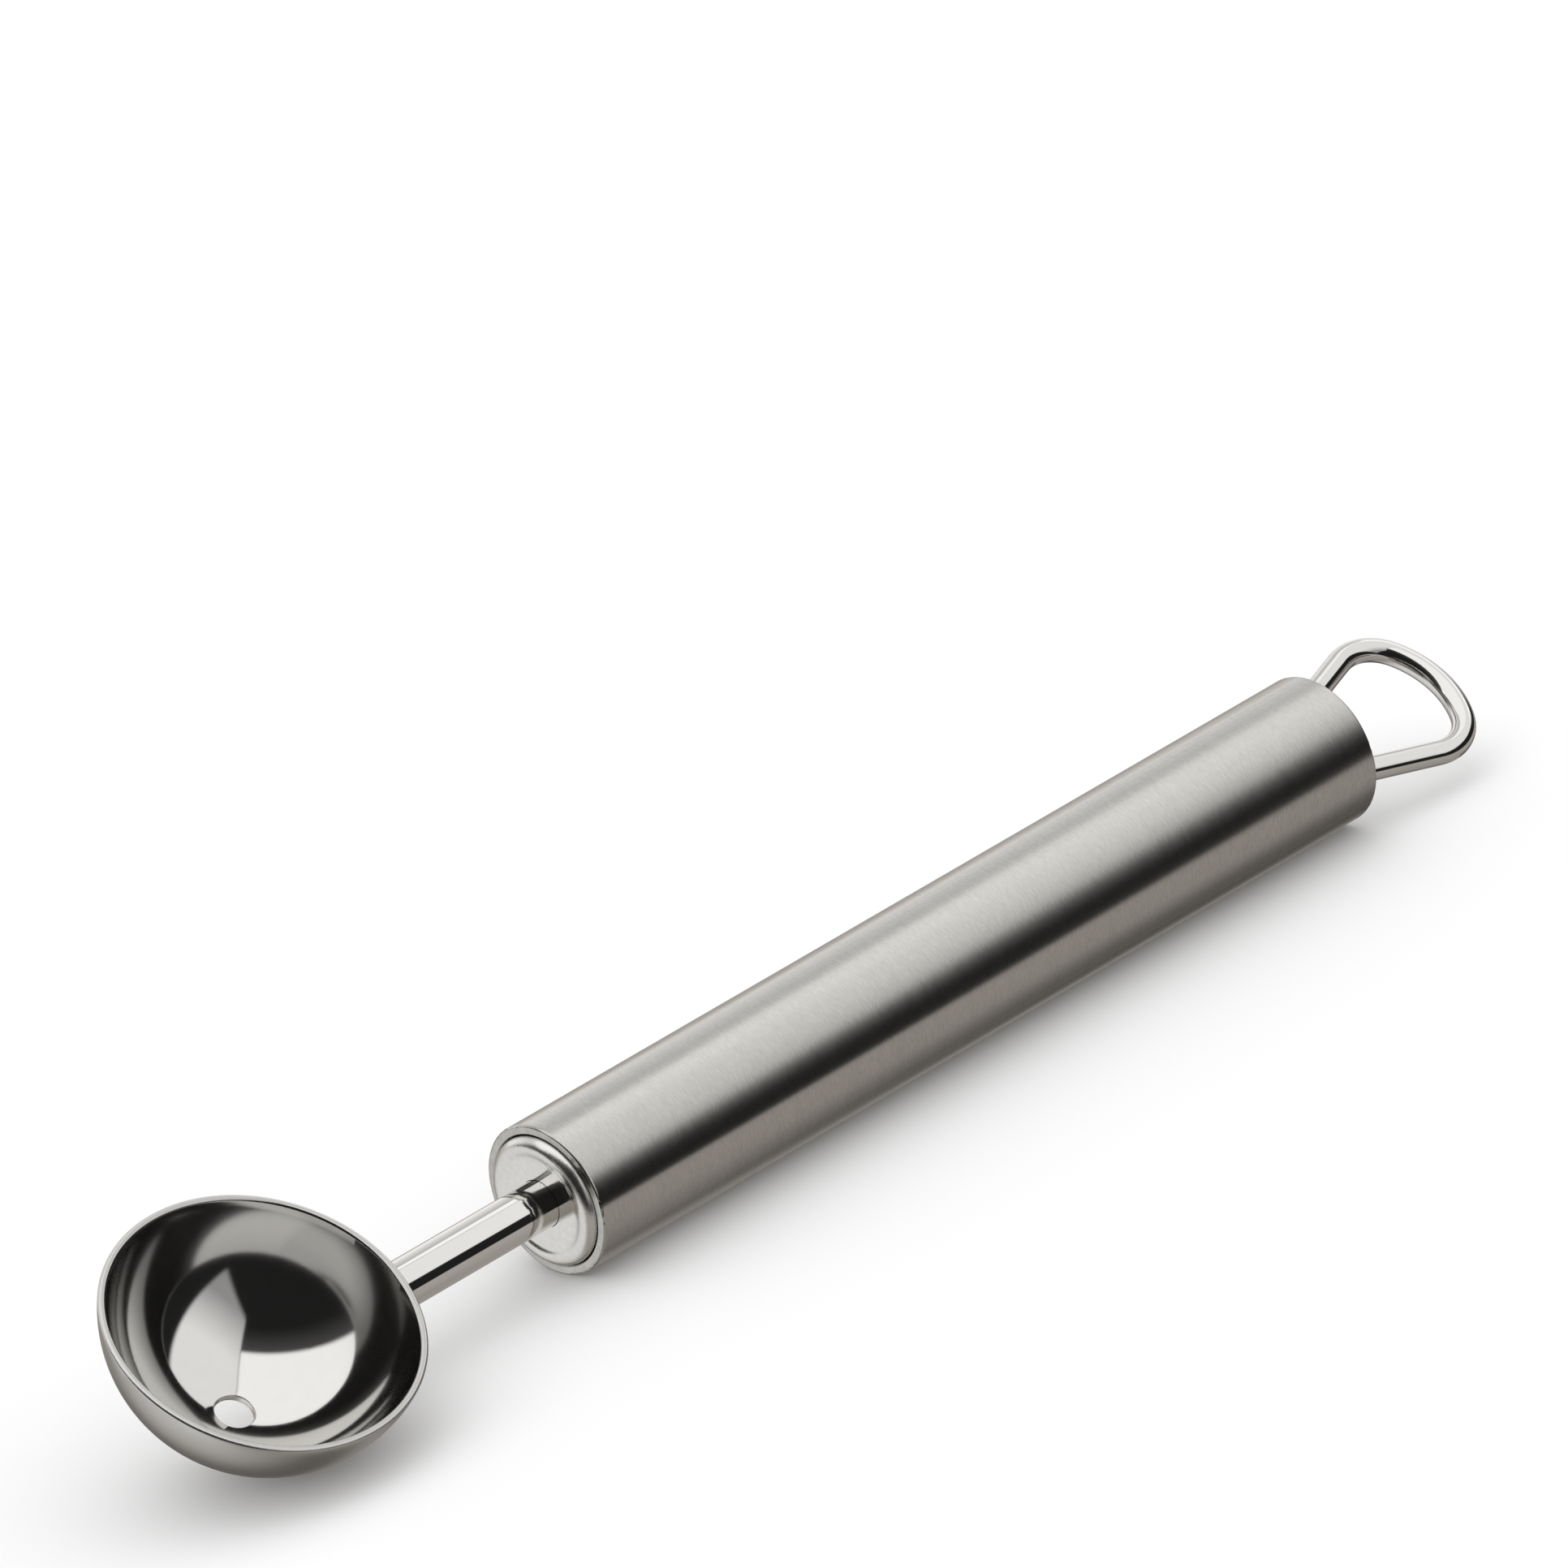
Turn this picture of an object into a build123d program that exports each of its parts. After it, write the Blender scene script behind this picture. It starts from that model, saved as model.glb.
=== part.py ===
from build123d import *
import os
from math import acos, asin, cos, degrees, radians, sin, tan

# A stainless steel melon baller: a stamped bowl with a vent hole, a round neck rod
# welded under its rim, a pressed front cap, a tube handle, a rear cap and a bent
# wire hanging loop. Millimetres.
#
# The pieces are made round the handle's axis, with +X from the bowl to the loop and
# +Z out of the bowl's mouth. At the end they are laid on the table as the real tool
# lies: rolled over until the side of the bowl meets the table beside the handle.

# Handle tube
handle_diameter = 16.0
handle_length = 111.0
handle_wall = 1.0
handle_edge_radius = 0.3
handle_mouth_chamfer = 0.12

# Bowl
bowl_diameter = 32.5
bowl_depth = 14.2
bowl_wall = 0.8
bowl_lip_radius = 0.3
vent_diameter = 4.0
vent_edge_radius = 0.15

# Neck rod
rod_diameter = 5.0
neck_length = 41.0  # from the bowl's axis to the handle's front face
tang_length = 14.0  # the rod's hidden length behind the handle's front face
tang_chamfer = 0.5
weld_fillet = 0.8
weld_gap = 0.04

# Pressed caps at both ends of the handle
cap_skirt = 5.0  # from the handle's end face to the skirt's inner edge
cap_clearance = 0.1
rod_clearance = 0.05
leg_clearance = 0.05

# Shape of the caps, as shares of the space from the rod to the tube's bore
sheet_share = 0.184
ridge_radius_share = 0.264
ridge_rise_share = 0.218  # how far the front cap's rolled ridge stands out of the handle
dish_drop_share = 0.0575  # how far the front cap's web lies behind its ridge
dish_radius_share = 0.345
rear_rise_share = 0.115  # how far the rear cap stands out of the handle

# Hanging loop
wire_diameter = 2.5
loop_reach = 17.6  # from the handle's rear face to the middle of the outer bar
bar_radius = 10.0
bend_radius = 5.0
bend_spacing = 5.0  # between the centres of the two bends
leg_angle = 17.0
leg_tail = 5.0  # the legs' hidden depth inside the handle
leg_end_chamfer = 0.25

# Overrun of every cut
cut_overrun = 1.0

# Stations along the object
bore_radius = handle_diameter / 2 - handle_wall
cap_radius = bore_radius - cap_clearance
rod_radius = rod_diameter / 2
rim_radius = bowl_diameter / 2
rim_height = handle_diameter / 2  # the rim is level with the top of the handle
overall_length = rim_radius + neck_length + handle_length + loop_reach + wire_diameter / 2
bowl_x = rim_radius - overall_length / 2
front_x = bowl_x + neck_length
rear_x = front_x + handle_length

# The bowl's outside is part of a sphere through its rim and its lowest point
ball_radius = (rim_radius**2 + bowl_depth**2) / (2 * bowl_depth)
ball_rise = ball_radius - bowl_depth  # the sphere's centre above the rim plane
ball_height = rim_height + ball_rise  # the sphere's centre above the handle's axis
ball_centre = (bowl_x, 0, ball_height)


def lengthwise_plane(x, height=0):
    """A sketch plane through the handle's axis: across is +X, up is +Z."""
    return Plane(origin=(x, 0, height), x_dir=(1, 0, 0), z_dir=(0, -1, 0))


def rim_sweep(radius):
    """Angle from the lowest point of a sphere of this radius up to the rim plane."""
    return 90 - degrees(asin(ball_rise / radius))


# Bowl: a spherical shell with a rounded lip and a vent hole at its lowest point
with BuildPart() as bowl:
    with BuildSketch(lengthwise_plane(bowl_x, rim_height)):
        with BuildLine():
            outside = CenterArc((0, ball_rise), ball_radius, -90, rim_sweep(ball_radius))
            inner_radius = ball_radius - bowl_wall
            inside = CenterArc((0, ball_rise), inner_radius, -90, rim_sweep(inner_radius))
            Line(outside @ 0, inside @ 0)
            Line(outside @ 1, inside @ 1)
        make_face()
    revolve(axis=Axis((bowl_x, 0, 0), (0, 0, 1)))
    fillet(bowl.edges().filter_by(GeomType.CIRCLE).group_by(Axis.Z)[-1], bowl_lip_radius)
    with Locations((bowl_x, 0, rim_height - bowl_depth)):
        Cylinder(vent_diameter / 2, 2 * (bowl_wall + cut_overrun), mode=Mode.SUBTRACT)
    vent_edges = bowl.edges().filter_by(
        lambda edge: edge.geom_type == GeomType.CIRCLE and edge.radius < vent_diameter
    )
    fillet(vent_edges, vent_edge_radius)
bowl.part.label = "bowl"

# Neck rod: round bar, cut to the bowl's sphere, with the ground weld as a fillet
rod_start = bowl_x
rod_end = front_x + tang_length
with BuildPart() as neck_rod:
    with BuildSketch(Plane.YZ.offset(rod_start)):
        Circle(rod_radius)
    extrude(amount=rod_end - rod_start)
    chamfer(neck_rod.edges().sort_by(Axis.X)[-1], tang_chamfer)
    with Locations(ball_centre):
        Sphere(ball_radius)
    weld_edge = neck_rod.edges().filter_by(
        lambda edge: bowl_x < edge.center().X < front_x and edge.geom_type != GeomType.LINE
    )
    weld_edge = weld_edge.sort_by(lambda edge: abs(edge.center().Z))
    fillet(weld_edge[0], weld_fillet)
    with Locations(ball_centre):
        Sphere(ball_radius + weld_gap, mode=Mode.SUBTRACT)
neck_rod.part.label = "neck_rod"

# Handle tube: plain drawn tube, its ends trimmed square and broken
with BuildPart() as handle_tube:
    with BuildSketch(Plane.YZ.offset(front_x)):
        Circle(handle_diameter / 2)
        Circle(bore_radius, mode=Mode.SUBTRACT)
    extrude(amount=handle_length)
    rings = handle_tube.edges().filter_by(GeomType.CIRCLE).group_by(SortBy.RADIUS)
    chamfer(rings[0], handle_mouth_chamfer)
    rings = handle_tube.edges().filter_by(GeomType.CIRCLE).group_by(SortBy.RADIUS)
    fillet(rings[-1], handle_edge_radius)
handle_tube.part.label = "handle_tube"

# Shape of the pressed caps
web_bore = rod_radius + rod_clearance
cap_space = cap_radius - web_bore
cap_sheet = sheet_share * cap_space
ridge_radius = ridge_radius_share * cap_space
ridge_rise = ridge_rise_share * cap_space
dish_drop = dish_drop_share * cap_space
dish_radius = dish_radius_share * cap_space
rear_cap_rise = rear_rise_share * cap_space

# Front cap: pressed sheet with a rolled ridge and a flat web that the rod goes through
dish_turn = degrees(acos(1 - dish_drop / (ridge_radius + dish_radius)))


def front_cap_side(depth):
    """One side of the pressed sheet, depth millimetres behind its front face."""
    skirt = Line((cap_skirt, cap_radius - depth), (ridge_radius - ridge_rise, cap_radius - depth))
    ridge = JernArc(skirt @ 1, (-1, 0), ridge_radius - depth, 90 + dish_turn)
    dish = JernArc(ridge @ 1, ridge % 1, dish_radius + depth, -dish_turn)
    web = Line(dish @ 1, (dish_drop - ridge_rise + depth, web_bore))
    return skirt @ 0, web @ 1


with BuildPart() as front_cap:
    with BuildSketch(lengthwise_plane(front_x)):
        with BuildLine():
            front_ends = front_cap_side(0)
            back_ends = front_cap_side(cap_sheet)
            Line(front_ends[0], back_ends[0])
            Line(front_ends[1], back_ends[1])
        make_face()
    revolve(axis=Axis.X)
front_cap.part.label = "front_cap"

# Hanging loop: one wire, two straight legs, two bends and a gently curved outer bar
bar_turn = degrees(asin(bend_spacing / 2 / (bar_radius - bend_radius)))
bend_turn = 90 + leg_angle - bar_turn
bar_x = rear_x + loop_reach
bend_x = bar_x - bar_radius + (bar_radius - bend_radius) * cos(radians(bar_turn))
leg_top_x = bend_x - bend_radius * sin(radians(leg_angle))
leg_top_y = bend_spacing / 2 + bend_radius * cos(radians(leg_angle))
leg_foot_x = rear_x - leg_tail
leg_foot_y = leg_top_y - (leg_top_x - leg_foot_x) * tan(radians(leg_angle))
with BuildPart() as hanging_loop:
    with BuildLine(Plane.XY) as loop_line:
        near_leg = Line((leg_foot_x, -leg_foot_y), (leg_top_x, -leg_top_y))
        near_bend = JernArc(near_leg @ 1, near_leg % 1, bend_radius, bend_turn)
        bar = JernArc(near_bend @ 1, near_bend % 1, bar_radius, 2 * bar_turn)
        far_bend = JernArc(bar @ 1, bar % 1, bend_radius, bend_turn)
        Line(far_bend @ 1, (leg_foot_x, leg_foot_y))
    with BuildSketch(Plane(origin=loop_line.line @ 0, z_dir=loop_line.line % 0)):
        Circle(wire_diameter / 2)
    sweep()
    feet = hanging_loop.faces().filter_by(GeomType.PLANE)
    chamfer(feet.edges(), leg_end_chamfer)
hanging_loop.part.label = "hanging_loop"

# Rear cap: a flat pressed cap with two slanted holes for the legs of the loop
with BuildPart() as rear_cap:
    with BuildSketch(lengthwise_plane(rear_x)):
        with BuildLine():
            corner_x = rear_cap_rise - ridge_radius
            for depth in (0, cap_sheet):
                skirt = Line((-cap_skirt, cap_radius - depth), (corner_x, cap_radius - depth))
                shoulder = JernArc(skirt @ 1, (1, 0), ridge_radius - depth, -90)
                Line(shoulder @ 1, (rear_cap_rise - depth, 0))
            Line((-cap_skirt, cap_radius), (-cap_skirt, cap_radius - cap_sheet))
            Line((rear_cap_rise, 0), (rear_cap_rise - cap_sheet, 0))
        make_face()
    revolve(axis=Axis.X)
    leg_hole = wire_diameter / 2 + leg_clearance
    for side in (-1, 1):
        leg_way = (leg_top_x - leg_foot_x, side * (leg_top_y - leg_foot_y), 0)
        leg_foot = (leg_foot_x, side * leg_foot_y, 0)
        with BuildSketch(Plane(origin=leg_foot, z_dir=leg_way)):
            Circle(leg_hole)
        extrude(amount=leg_tail + cap_skirt, mode=Mode.SUBTRACT)
rear_cap.part.label = "rear_cap"

# Lay the tool down: roll it about the handle's axis until the bowl's side is as low as
# the handle, then put the middle of its footprint on the table at the origin. A bowl so
# deep that it's lower than the handle before it rolls stays upright on its own bottom.
pieces = (bowl, neck_rod, front_cap, handle_tube, rear_cap, hanging_loop)
lean_cosine = min((ball_radius - handle_diameter / 2) / ball_height, 1)
lean_angle = degrees(acos(lean_cosine))
table_depth = ball_radius - ball_height * lean_cosine  # from the handle's axis down to the table
for piece in pieces:
    piece.part.move(Rot(X=lean_angle))
boxes = [piece.part.bounding_box() for piece in pieces]
middle_y = (min(box.min.Y for box in boxes) + max(box.max.Y for box in boxes)) / 2
for piece in pieces:
    piece.part.move(Pos(0, -middle_y, table_depth))

os.makedirs("parts", exist_ok=True)
for piece in pieces:
    export_step(piece.part, f"parts/{piece.part.label}.step")
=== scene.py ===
import math

import bmesh
import bpy
from mathutils import Matrix, Vector


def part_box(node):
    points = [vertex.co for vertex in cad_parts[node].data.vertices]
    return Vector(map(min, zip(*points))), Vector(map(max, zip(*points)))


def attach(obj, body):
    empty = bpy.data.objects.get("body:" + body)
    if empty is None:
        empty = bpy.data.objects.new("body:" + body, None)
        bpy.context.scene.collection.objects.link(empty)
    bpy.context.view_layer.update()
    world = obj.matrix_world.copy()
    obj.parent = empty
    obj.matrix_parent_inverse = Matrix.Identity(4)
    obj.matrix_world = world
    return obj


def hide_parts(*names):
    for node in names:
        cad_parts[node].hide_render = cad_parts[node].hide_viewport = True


# Looks of a stainless steel melon baller, in metres, in the frame of the CAD parts: +X
# runs from the bowl to the hanging loop and +Z up from the table that the tool lies on.
# The tool is rolled about its handle, so its own upright leans over towards -Y.

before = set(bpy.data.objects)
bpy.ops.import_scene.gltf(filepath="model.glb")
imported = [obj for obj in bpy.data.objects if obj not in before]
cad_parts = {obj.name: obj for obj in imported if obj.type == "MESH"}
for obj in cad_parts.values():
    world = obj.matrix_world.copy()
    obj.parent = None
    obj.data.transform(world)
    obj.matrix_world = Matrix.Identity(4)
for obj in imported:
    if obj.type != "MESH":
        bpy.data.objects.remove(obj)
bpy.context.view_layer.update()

# Sizes of the bowl and the neck
BOWL_RADIUS = 0.01625
BOWL_DEPTH = 0.0142
BOWL_WALL = 0.0008
NECK_LENGTH = 0.041  # from the bowl's axis to the handle's front face
BALL_RADIUS = (BOWL_RADIUS**2 + BOWL_DEPTH**2) / (2 * BOWL_DEPTH)

# Places on the tool: the middle of the handle's front face, the lean of the tool when the
# side of its bowl rests on the table, the centre of the bowl's sphere and the rim's level
tube_low, tube_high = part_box("handle_tube")
TUBE_RADIUS = (tube_high.z - tube_low.z) / 2
FRONT = Vector((tube_low.x, (tube_low.y + tube_high.y) / 2, (tube_low.z + tube_high.z) / 2))
BALL_HEIGHT = TUBE_RADIUS + BALL_RADIUS - BOWL_DEPTH
LEAN = math.acos((BALL_RADIUS - TUBE_RADIUS) / BALL_HEIGHT)
ROLL_OVER = Matrix.Rotation(LEAN, 3, "X")
UPRIGHT = ROLL_OVER @ Vector((0, 0, 1))
BALL_CENTRE = FRONT - Vector((NECK_LENGTH, 0, 0)) + UPRIGHT * BALL_HEIGHT
RIM_LEVEL = FRONT.dot(UPRIGHT) + TUBE_RADIUS


# Shader maths


class Socket:
    """A shader value that can be used in Python sums."""

    def __init__(self, paint, output):
        self.paint = paint
        self.output = output

    def maths(self, operation, *values):
        return self.paint.node("ShaderNodeMath", {"operation": operation}, values)

    def __add__(self, other):
        return self.maths("ADD", self, other)

    def __radd__(self, other):
        return self.maths("ADD", other, self)

    def __sub__(self, other):
        return self.maths("SUBTRACT", self, other)

    def __rsub__(self, other):
        return self.maths("SUBTRACT", other, self)

    def __mul__(self, other):
        return self.maths("MULTIPLY", self, other)

    def __rmul__(self, other):
        return self.maths("MULTIPLY", other, self)

    def highest(self, other):
        return self.maths("MAXIMUM", self, other)

    def spread(self, low, high):
        """low where this value is 0 and high where it is 1."""
        return low + self * (high - low)


class Paint:
    """The node tree of one material or of the world."""

    def __init__(self, tree):
        self.tree = tree
        tree.nodes.clear()

    def node(self, kind, settings=None, values=(), out=0):
        """Adds a node, makes its settings, then links or sets its inputs by place or by name.

        out is the place or name of the output that is handed back, or None for no output.
        """
        made = self.tree.nodes.new(kind)
        for name, value in (settings or {}).items():
            setattr(made, name, value)
        pairs = values.items() if isinstance(values, dict) else enumerate(values)
        for place, value in pairs:
            if isinstance(value, Socket):
                self.tree.links.new(value.output, made.inputs[place])
            else:
                made.inputs[place].default_value = value
        return None if out is None else Socket(self, made.outputs[out])

    def smooth(self, value, start, full):
        """0 before start and 1 past full, with a soft step between them, rising or falling."""
        values = {"Value": value, "From Min": start, "From Max": full}
        return self.node("ShaderNodeMapRange", {"interpolation_type": "SMOOTHSTEP"}, values)

    def between(self, value, first, last, at_first, at_last):
        """at_first to at_last as the value goes from first to last."""
        ends = {"From Min": first, "From Max": last, "To Min": at_first, "To Max": at_last}
        return self.node("ShaderNodeMapRange", {"clamp": True}, {"Value": value, **ends})

    def dot(self, vector, constant):
        settings = {"operation": "DOT_PRODUCT"}
        return self.node("ShaderNodeVectorMath", settings, [vector, constant], "Value")

    def distance(self, vector, constant):
        settings = {"operation": "DISTANCE"}
        return self.node("ShaderNodeVectorMath", settings, [vector, constant], "Value")

    def stretched_noise(self, spot, scale, detail):
        """Noise whose grain is set apart along X, Y and Z, in grains per metre."""
        grains = self.node("ShaderNodeMapping", values={"Vector": spot, "Scale": scale})
        values = {"Vector": grains, "Scale": 1.0, "Detail": detail}
        return self.node("ShaderNodeTexNoise", values=values)

    def bump(self, height, distance, strength):
        values = {"Strength": strength, "Distance": distance, "Height": height}
        return self.node("ShaderNodeBump", values=values)

    def tinted(self, level, tint):
        """A colour with this tint's shares of red, green and blue at this level."""
        return self.node("ShaderNodeCombineColor", values=[level * share for share in tint])

    def finish(self, kind, shader):
        """Ends the tree with an output of this kind."""
        self.node(kind, values={"Surface": shader}, out=None)


# Studio: how bright it is in each direction, as seen from the tool. The steel mirrors it,
# while the camera and the floor see a plain pale dome. Its directions are the tool's own.
# A pair of places says where a soft step or a fade starts and ends: 1 is straight along its
# direction, 0 is square to it and -1 is straight away from it.

# Corners of the two overhead panels, as headings in degrees
PANELS_MEET = (0, -10)
SEAM_END = (22, 12)
FAR_MIDDLE = (0, 30)
FAR_CORNER = (-55, 45)
FAR_BACK_RIGHT = (44, 52)
FAR_BACK_LEFT = (-55, 60)
NEAR_MIDDLE = (10, -20)
NEAR_KNEE = (-17, -27)
NEAR_FOOT = (-20, -65)
NEAR_TIP = (57, -16)

# Brightness of the panels: the near one grows brighter towards the loop, and the far one
# has a faint glow past its edge
FAR_BRIGHTNESS = 1.27
NEAR_FADE_HEADING = (50, 0)
NEAR_FADE = (0.3, 0.75)
NEAR_BRIGHTNESS = (0.4, 1.06)
GLOW_BRIGHTNESS = 0.06
GLOW_END = (0.3, -0.1)

# Pale backdrop on the far side
BACKDROP_WAY = Vector((0.35, 0.93, 0.0))
BACKDROP_SIDE = (0.45, 0.75)
BACKDROP_BOTTOM = (-0.65, -0.4)
BACKDROP_FADE = (0.35, -0.35)
BACKDROP_BRIGHTNESS = (0.64, 1.15)

# Brighter strip beyond the loop, which the handle mirrors as a pale line
STRIP_BRIGHTNESS = 0.38
STRIP_BOTTOM = (0.1, 0.4)
STRIP_TOP = (0.58, 0.47)
STRIP_SIDE = (0.62, 0.72)
STRIP_NEAR_END = (-0.1, 0.2)

# Table, brighter where the panels light it on the bowl's side
TABLE_WAY = Vector((0, 0.317, 0.948))
TABLE_EDGE = (-0.117, -0.167)
TABLE_FADE = (-0.75, -0.1)
TABLE_BRIGHTNESS = (0.38, 0.48)
TABLE_TINT = (1.0, 0.935, 0.88)
LIT_TABLE = 0.5
LIT_SIDE = (0.2, -0.6)
LIT_NEAR_END = (-0.6, -0.1)

# The tool's own shadow on the table, under the bowl and under the handle
SHADOW = 0.65
BOWL_SHADOW_START = (-0.1, 0.25)
BOWL_SHADOW_END = (0.58, 0.42)
BOWL_SHADOW_DEPTH = (-0.75, -0.9)
HANDLE_SHADOW_START = (0.61, 0.66)
HANDLE_SHADOW_DEPTH = (-0.35, -0.7)

# Dark room round the camera, and the dome that the camera and the floor see
ROOM = 0.018
DOME_BRIGHTNESS = 1.08
WHITE = (1, 1, 1, 1)


def heading(across, along):
    """The direction as far from upright as the length of (across, along), in degrees."""
    angle = math.radians(math.hypot(across, along))
    turn = math.atan2(along, across)
    outward = math.sin(angle)
    return Vector((outward * math.cos(turn), outward * math.sin(turn), math.cos(angle)))


class Studio(Paint):
    """The world's node tree, which knows the direction that is looked at."""

    def __init__(self, tree):
        super().__init__(tree)
        self.direction = self.node("ShaderNodeTexCoord", out="Generated")
        self.lengthwise = self.along(Vector((1, 0, 0)))
        self.crosswise = self.along(Vector((0, 1, 0)))
        self.upright = self.along(Vector((0, 0, 1)))

    def along(self, way):
        """How far the ray's direction goes along this direction of the tool."""
        return self.dot(self.direction, ROLL_OVER @ way)

    def edge(self, middle, first, second, outer, inner):
        """A panel's straight edge through two headings: 1 on its middle's side, 0 past it.

        outer and inner are where its soft step starts and ends, in radians from the edge.
        """
        normal = heading(*first).cross(heading(*second)).normalized()
        if normal.dot(heading(*middle)) < 0:
            normal.negate()
        return self.smooth(self.along(normal), outer, inner)

    def far_panel(self):
        mask = self.edge(FAR_MIDDLE, PANELS_MEET, FAR_CORNER, outer=-0.05, inner=0.03)
        mask = mask * self.edge(FAR_MIDDLE, PANELS_MEET, SEAM_END, outer=-0.02, inner=0.02)
        mask = mask * self.edge(FAR_MIDDLE, FAR_BACK_RIGHT, FAR_BACK_LEFT, outer=-0.02, inner=0.06)
        return mask * FAR_BRIGHTNESS

    def glow(self):
        mask = self.edge(FAR_MIDDLE, PANELS_MEET, FAR_CORNER, outer=-0.35, inner=0.0)
        return mask * self.smooth(self.lengthwise, *GLOW_END) * GLOW_BRIGHTNESS

    def near_panel(self):
        mask = self.edge(NEAR_MIDDLE, PANELS_MEET, SEAM_END, outer=-0.02, inner=0.02)
        mask = mask * self.edge(NEAR_MIDDLE, PANELS_MEET, NEAR_KNEE, outer=-0.04, inner=0.02)
        mask = mask * self.edge(NEAR_MIDDLE, NEAR_KNEE, NEAR_FOOT, outer=-0.05, inner=0.04)
        mask = mask * self.edge(NEAR_MIDDLE, NEAR_FOOT, NEAR_TIP, outer=-0.037, inner=0.033)
        way = self.along(heading(*NEAR_FADE_HEADING))
        return mask * self.between(way, *NEAR_FADE, *NEAR_BRIGHTNESS)

    def backdrop(self):
        mask = self.smooth(self.along(BACKDROP_WAY), *BACKDROP_SIDE)
        mask = mask * self.smooth(self.upright, *BACKDROP_BOTTOM)
        return mask * self.between(self.upright, *BACKDROP_FADE, *BACKDROP_BRIGHTNESS)

    def strip(self):
        mask = self.smooth(self.upright, *STRIP_BOTTOM) * self.smooth(self.upright, *STRIP_TOP)
        mask = mask * self.smooth(self.lengthwise, *STRIP_SIDE)
        return mask * self.smooth(self.crosswise, *STRIP_NEAR_END) * STRIP_BRIGHTNESS

    def shadow(self):
        bowl = self.smooth(self.lengthwise, *BOWL_SHADOW_START)
        bowl = bowl * self.smooth(self.lengthwise, *BOWL_SHADOW_END)
        bowl = bowl * self.smooth(self.upright, *BOWL_SHADOW_DEPTH)
        handle = self.smooth(self.lengthwise, *HANDLE_SHADOW_START)
        handle = handle * self.smooth(self.upright, *HANDLE_SHADOW_DEPTH)
        return bowl.highest(handle) * SHADOW

    def table(self):
        """The table's brightness, and how warm it is: the lit part of it is white."""
        mask = self.smooth(self.along(TABLE_WAY), *TABLE_EDGE)
        lit = self.smooth(self.lengthwise, *LIT_SIDE) * self.smooth(self.crosswise, *LIT_NEAR_END)
        level = self.between(self.upright, *TABLE_FADE, *TABLE_BRIGHTNESS) + lit * LIT_TABLE
        return mask * (level * (1 - self.shadow())), mask * (1 - lit)


def make_studio():
    world = bpy.data.worlds.new("studio")
    bpy.context.scene.world = world
    world.use_nodes = True
    studio = Studio(world.node_tree)
    table, warmth = studio.table()
    light = studio.glow() + ROOM
    for part in (studio.backdrop(), table, studio.near_panel(), studio.far_panel()):
        light = light.highest(part)
    light = light + studio.strip()
    colour = studio.tinted(light, [1 - warmth * (1 - share) for share in TABLE_TINT])
    mirrored = studio.node("ShaderNodeBackground", values=[colour, 1.0])
    plain = studio.node("ShaderNodeBackground", values=[WHITE, DOME_BRIGHTNESS])
    camera_ray = studio.node("ShaderNodeLightPath", out="Is Camera Ray")
    floor_ray = studio.node("ShaderNodeLightPath", out="Is Diffuse Ray")
    seen = camera_ray.highest(floor_ray)
    both = studio.node("ShaderNodeMixShader", values=[seen, mirrored, plain])
    studio.finish("ShaderNodeOutputWorld", both)


# Steel finishes. Marks, grain and peel are noise, in grains per metre along X, Y and Z. A
# pair of values goes from where the noise is 0 to where it is 1.
STEEL_TINT = (1.0, 0.985, 0.955)
PEEL_DEPTH = 0.00002


def steel(build):
    """A steel material. build gives its name, and returns its shader's values and links."""
    material = bpy.data.materials.new(build.__name__)
    material.use_nodes = True
    paint = Paint(material.node_tree)
    spot = paint.node("ShaderNodeTexCoord", out="Object")
    values = {"Metallic": 1.0, **build(paint, spot)}
    shader = paint.node("ShaderNodeBsdfPrincipled", values=values)
    paint.finish("ShaderNodeOutputMaterial", shader)
    return material


# Handle tube: brushed round its length, in grooves that each lean a little to the loop
TUBE_TINT = (1.0, 0.978, 0.925)
TUBE_GRAIN = (12000, 1300, 1300)
TUBE_CLOUDS = (900, 60, 60)
TUBE_SHADE = (0.37, 0.59)
CLOUD_SHADE = 0.05
TUBE_ROUGHNESS = (0.19, 0.21)
TUBE_ANISOTROPY = 0.95
GRAIN_DEPTH = 0.0000007
GRAIN_SLANT = math.tan(math.radians(9.0))


def brushed_tube(paint, spot):
    grain = paint.stretched_noise(spot, TUBE_GRAIN, detail=3.0)
    clouds = paint.stretched_noise(spot, TUBE_CLOUDS, detail=2.0)
    shade = grain.spread(*TUBE_SHADE) + clouds * CLOUD_SHADE
    height = grain * GRAIN_DEPTH - paint.dot(spot, (1, 0, 0)) * GRAIN_SLANT
    return {
        "Base Color": paint.tinted(shade, TUBE_TINT),
        "Roughness": clouds.spread(*TUBE_ROUGHNESS),
        "Anisotropic": TUBE_ANISOTROPY,
        "Normal": paint.bump(height, distance=1.0, strength=1.0),
    }


# Bowl: polished inside and duller near the rim, satin outside
BOWL_MARKS = (900, 900, 900)
BOWL_PEEL = (2600, 2600, 2600)
BOWL_SHADE = (0.64, 0.67)
BOWL_ROUGHNESS = (0.05, 0.08)
DULL_DEPTH = 0.0105  # how far below the rim the dullness ends
DULL_ROUGHNESS = 0.09
DULL_SHADE = 0.17
OUTSIDE_START = 0.6 * BOWL_WALL  # how far inside the sphere the satin starts and is full
OUTSIDE_FULL = 0.2 * BOWL_WALL
OUTSIDE_ROUGHNESS = (0.21, 0.27)
OUTSIDE_SHADE = 0.05
OUTSIDE_BUMP = 0.15


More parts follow.
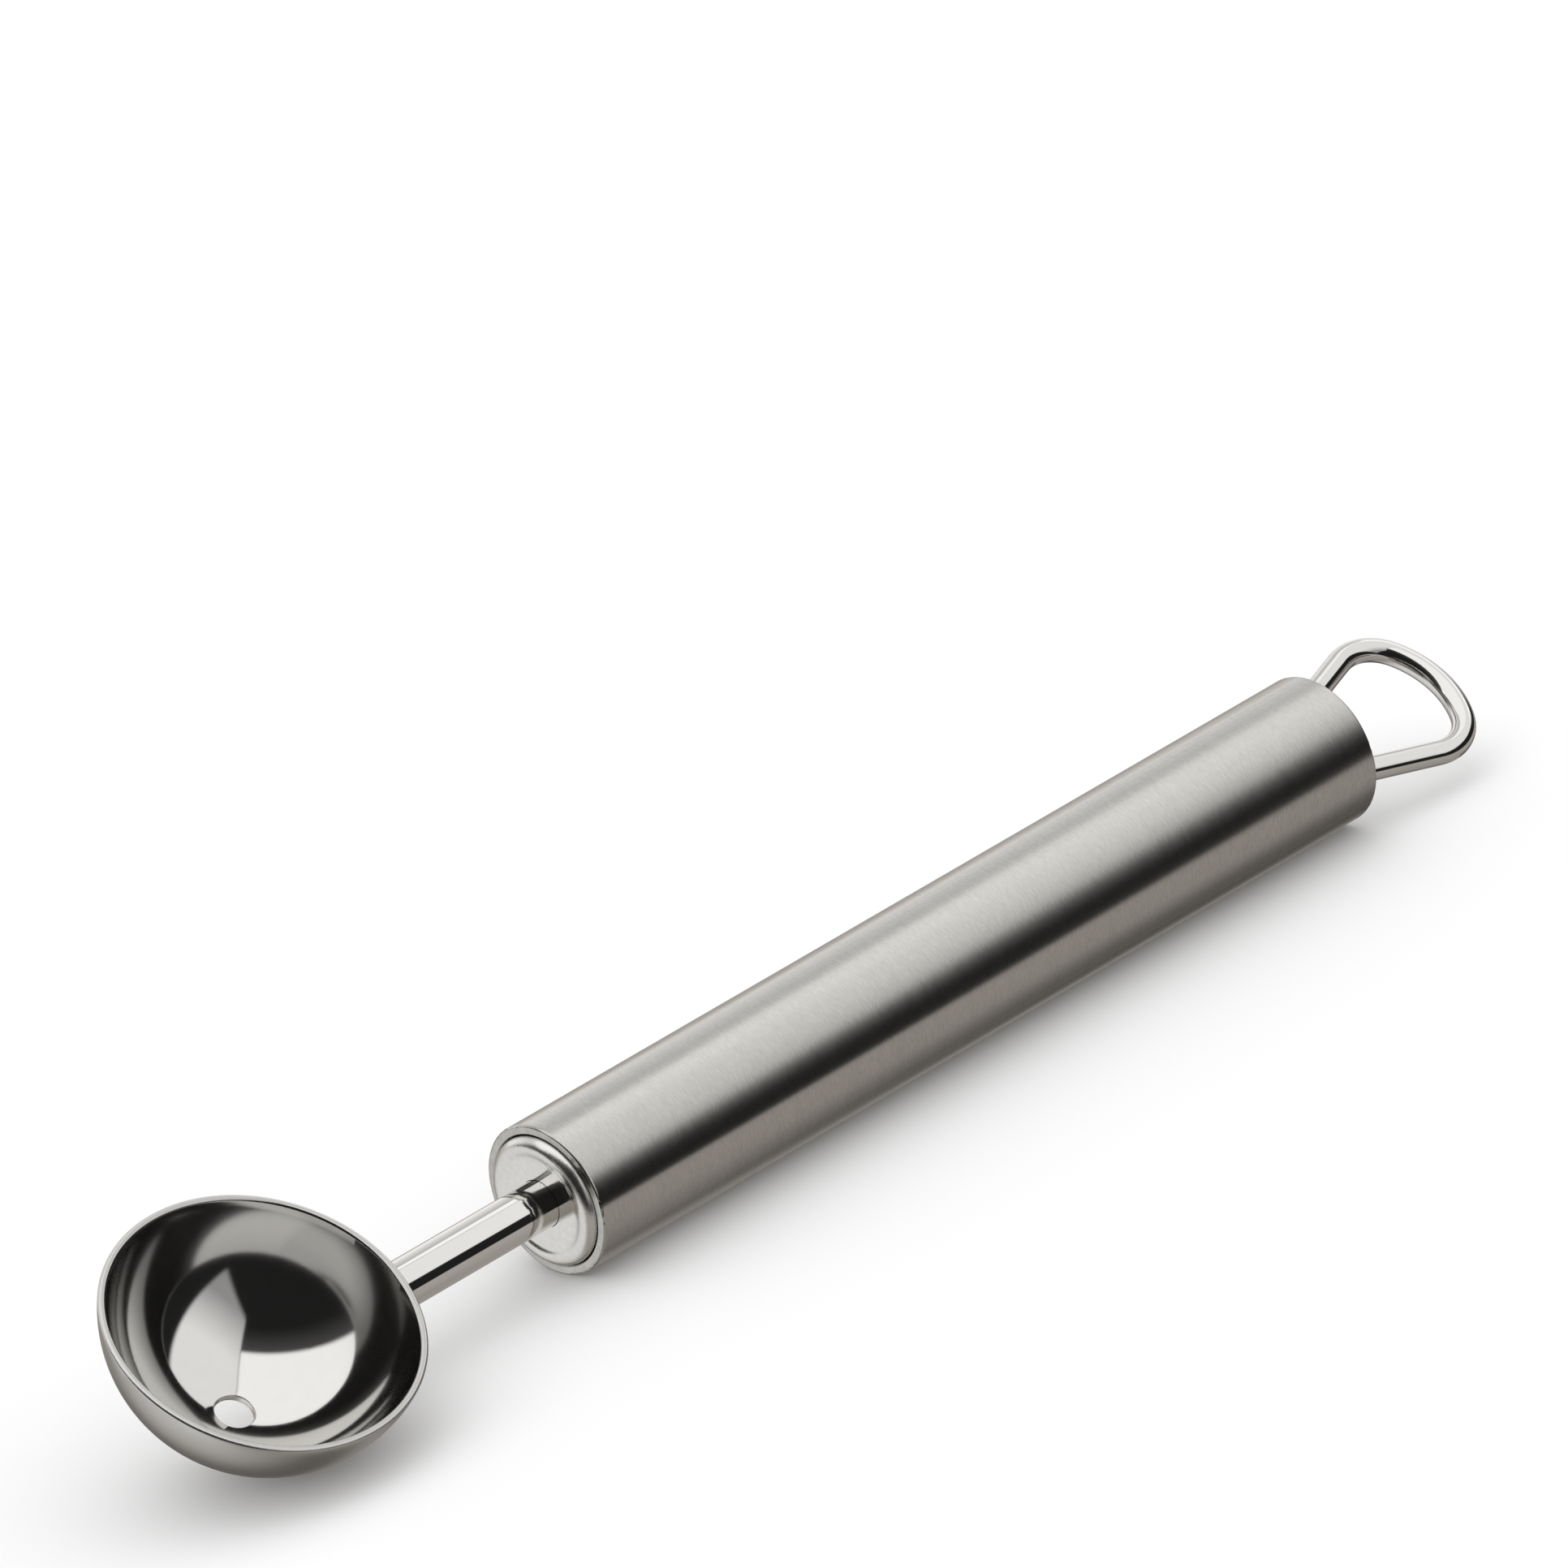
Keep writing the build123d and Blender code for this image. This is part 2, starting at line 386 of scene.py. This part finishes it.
def bowl_steel(paint, spot):
    reach = paint.distance(spot, BALL_CENTRE)
    outside = paint.smooth(reach, BALL_RADIUS - OUTSIDE_START, BALL_RADIUS - OUTSIDE_FULL)
    rim = paint.smooth(paint.dot(spot, UPRIGHT), RIM_LEVEL - DULL_DEPTH, RIM_LEVEL)
    dull = rim * (1 - outside)
    marks = paint.stretched_noise(spot, BOWL_MARKS, detail=4.0)
    peel = paint.stretched_noise(spot, BOWL_PEEL, detail=3.0)
    shade = marks.spread(*BOWL_SHADE) - dull * DULL_SHADE - outside * OUTSIDE_SHADE
    inside_roughness = marks.spread(*BOWL_ROUGHNESS) + dull * DULL_ROUGHNESS
    return {
        "Base Color": paint.tinted(shade, STEEL_TINT),
        "Roughness": inside_roughness + outside * peel.spread(*OUTSIDE_ROUGHNESS),
        "Normal": paint.bump(peel, distance=PEEL_DEPTH, strength=outside * OUTSIDE_BUMP),
    }


# Neck rod and hanging loop: polished
ROD_MARKS = (400, 1500, 1500)
ROD_SHADE = (0.7, 0.74)
ROD_ROUGHNESS = (0.03, 0.06)
WIRE_MARKS = (1500, 1500, 1500)
WIRE_SHADE = (0.66, 0.69)
WIRE_ROUGHNESS = (0.05, 0.1)


def polished(paint, spot, scale, shade, roughness):
    """Steel polished to a mirror, with faint marks."""
    marks = paint.stretched_noise(spot, scale, detail=3.0)
    return {
        "Base Color": paint.tinted(marks.spread(*shade), STEEL_TINT),
        "Roughness": marks.spread(*roughness),
    }


def polished_rod(paint, spot):
    return polished(paint, spot, ROD_MARKS, ROD_SHADE, ROD_ROUGHNESS)


def polished_wire(paint, spot):
    return polished(paint, spot, WIRE_MARKS, WIRE_SHADE, WIRE_ROUGHNESS)


# Pressed caps: polished round the handle's axis, satin with an orange peel further out
CAP_PEEL = (1800, 1800, 1800)
CAP_SHADE = (0.65, 0.79)
CAP_POLISH = 0.05
POLISHED_RADIUS = 0.0032
SATIN_RADIUS = 0.0066
SATIN_ROUGHNESS = (0.17, 0.27)
CAP_BUMP = (0.1, 0.6)


def pressed_cap(paint, spot):
    across = paint.node("ShaderNodeVectorMath", {"operation": "MULTIPLY"}, [spot, (0, 1, 1)])
    from_axis = paint.distance(across, (0, FRONT.y, FRONT.z))
    satin = paint.smooth(from_axis, POLISHED_RADIUS, SATIN_RADIUS)
    peel = paint.stretched_noise(spot, CAP_PEEL, detail=2.0)
    return {
        "Base Color": paint.tinted(peel.spread(*CAP_SHADE), STEEL_TINT),
        "Roughness": CAP_POLISH + satin * peel.spread(*SATIN_ROUGHNESS),
        "Normal": paint.bump(peel, distance=PEEL_DEPTH, strength=satin.spread(*CAP_BUMP)),
    }


# Pieces, each with the finish that has the name of its slot in the record
FINISHES = {
    "bowl": bowl_steel,
    "neck_rod": polished_rod,
    "front_cap": pressed_cap,
    "handle_tube": brushed_tube,
    "rear_cap": pressed_cap,
    "hanging_loop": polished_wire,
}
MERGE_DISTANCE = 0.0000001
SHARP_ANGLE = math.radians(28)
ON_SPHERE = 0.000002  # how near a corner is to a sphere to count as on it
LONG_SPACE = 10000.0  # so long a texture space that the brushing runs round the handle


def dressed_copy(node):
    """A merged, smooth copy of a CAD part that takes its place."""
    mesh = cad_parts[node].data.copy()
    mesh.name = node + "_finished"
    work = bmesh.new()
    work.from_mesh(mesh)
    bmesh.ops.remove_doubles(work, verts=work.verts, dist=MERGE_DISTANCE)
    work.to_mesh(mesh)
    work.free()
    mesh.materials.clear()
    if "custom_normal" in mesh.attributes:
        mesh.attributes.remove(mesh.attributes["custom_normal"])
    mesh.shade_smooth()
    mesh.use_auto_texspace = False
    mesh.texspace_size = (LONG_SPACE, 1.0, 1.0)
    mesh.set_sharp_from_angle(angle=SHARP_ANGLE)
    piece = bpy.data.objects.new(node + "_finished", mesh)
    bpy.context.scene.collection.objects.link(piece)
    return piece


def round_out(mesh):
    """Gives the bowl's faces the exact normals of its two spheres, so they mirror cleanly."""
    normals = [corner.vector.copy() for corner in mesh.corner_normals]
    for face in mesh.polygons:
        rays = [mesh.vertices[corner].co - BALL_CENTRE for corner in face.vertices]
        for radius in (BALL_RADIUS, BALL_RADIUS - BOWL_WALL):
            if max(abs(ray.length - radius) for ray in rays) < ON_SPHERE:
                side = math.copysign(1, face.normal.dot(rays[0]))
                for corner, ray in zip(face.loop_indices, rays):
                    normals[corner] = ray.normalized() * side
    mesh.normals_split_custom_set(normals)


def dress_pieces():
    materials = {build: steel(build) for build in dict.fromkeys(FINISHES.values())}
    for node, build in FINISHES.items():
        piece = dressed_copy(node)
        if node == "bowl":
            round_out(piece.data)
        piece.data.materials.append(materials[build])
        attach(piece, "root")
        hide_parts(node)


# Floor: plain and pale
FLOOR_HALF = 6.0
FLOOR_COLOUR = (0.92, 0.92, 0.92, 1)
FLOOR_ROUGHNESS = 0.9
FLOOR_GLOSS = 0.1


def make_floor():
    mesh = bpy.data.meshes.new("floor")
    signs = [(-1, -1), (1, -1), (1, 1), (-1, 1)]
    corners = [(FLOOR_HALF * x, FLOOR_HALF * y, 0) for x, y in signs]
    mesh.from_pydata(corners, [], [(0, 1, 2, 3)])
    floor = bpy.data.objects.new("floor", mesh)
    bpy.context.scene.collection.objects.link(floor)
    material = bpy.data.materials.new("floor")
    material.use_nodes = True
    paint = Paint(material.node_tree)
    shader = paint.node("ShaderNodeBsdfPrincipled", values={
        "Base Color": FLOOR_COLOUR,
        "Roughness": FLOOR_ROUGHNESS,
        "Specular IOR Level": FLOOR_GLOSS,
    })
    paint.finish("ShaderNodeOutputMaterial", shader)
    mesh.materials.append(material)
    floor.visible_glossy = False


# Soft overhead lamp for the floor, which the steel doesn't reflect
LAMP_SIZE = 1.6
LAMP_POWER = 2.0
LAMP_PLACE = Vector((0.2, 0.5, 1.6))


def make_lamp():
    lamp = bpy.data.lights.new("overhead", "AREA")
    lamp.shape = "SQUARE"
    lamp.size = LAMP_SIZE
    lamp.energy = LAMP_POWER
    holder = bpy.data.objects.new("overhead", lamp)
    holder.location = LAMP_PLACE
    holder.rotation_euler = (FRONT - LAMP_PLACE).to_track_quat("-Z", "Y").to_euler()
    holder.visible_glossy = False
    holder.visible_camera = False
    bpy.context.scene.collection.objects.link(holder)


# Camera, in the tool's own directions, from the middle of the handle's front face
CAMERA_AZIMUTH = math.radians(-58.05)
CAMERA_ELEVATION = math.radians(44.941)
CAMERA_ROLL = math.radians(18.797)
CAMERA_DISTANCE = 1.8579
CAMERA_RIGHT = 0.008866
CAMERA_UP = 0.045819
SENSOR_WIDTH = 36.0
FOCAL_LENGTH = 438.6
NEAREST_SEEN = 0.1
FARTHEST_SEEN = 50.0


def make_camera():
    outward = math.cos(CAMERA_ELEVATION)
    right = Vector((math.cos(CAMERA_AZIMUTH), math.sin(CAMERA_AZIMUTH), 0))
    back = Vector((right.y * outward, -right.x * outward, math.sin(CAMERA_ELEVATION)))
    up = back.cross(right)
    spot = back * CAMERA_DISTANCE + right * CAMERA_RIGHT + up * CAMERA_UP
    across = right * math.cos(CAMERA_ROLL) + up * math.sin(CAMERA_ROLL)
    upward = up * math.cos(CAMERA_ROLL) - right * math.sin(CAMERA_ROLL)
    turned = Matrix((ROLL_OVER @ across, ROLL_OVER @ upward, ROLL_OVER @ back)).transposed()
    lens = bpy.data.cameras.new("camera")
    lens.sensor_width = SENSOR_WIDTH
    lens.lens = FOCAL_LENGTH
    lens.clip_start = NEAREST_SEEN
    lens.clip_end = FARTHEST_SEEN
    camera = bpy.data.objects.new("camera", lens)
    camera.matrix_world = Matrix.Translation(FRONT + ROLL_OVER @ spot) @ turned.to_4x4()
    bpy.context.scene.collection.objects.link(camera)
    bpy.context.scene.camera = camera


make_studio()
dress_pieces()
make_floor()
make_lamp()
make_camera()
bpy.context.scene.view_settings.view_transform = "Standard"
bpy.context.scene.view_settings.look = "None"
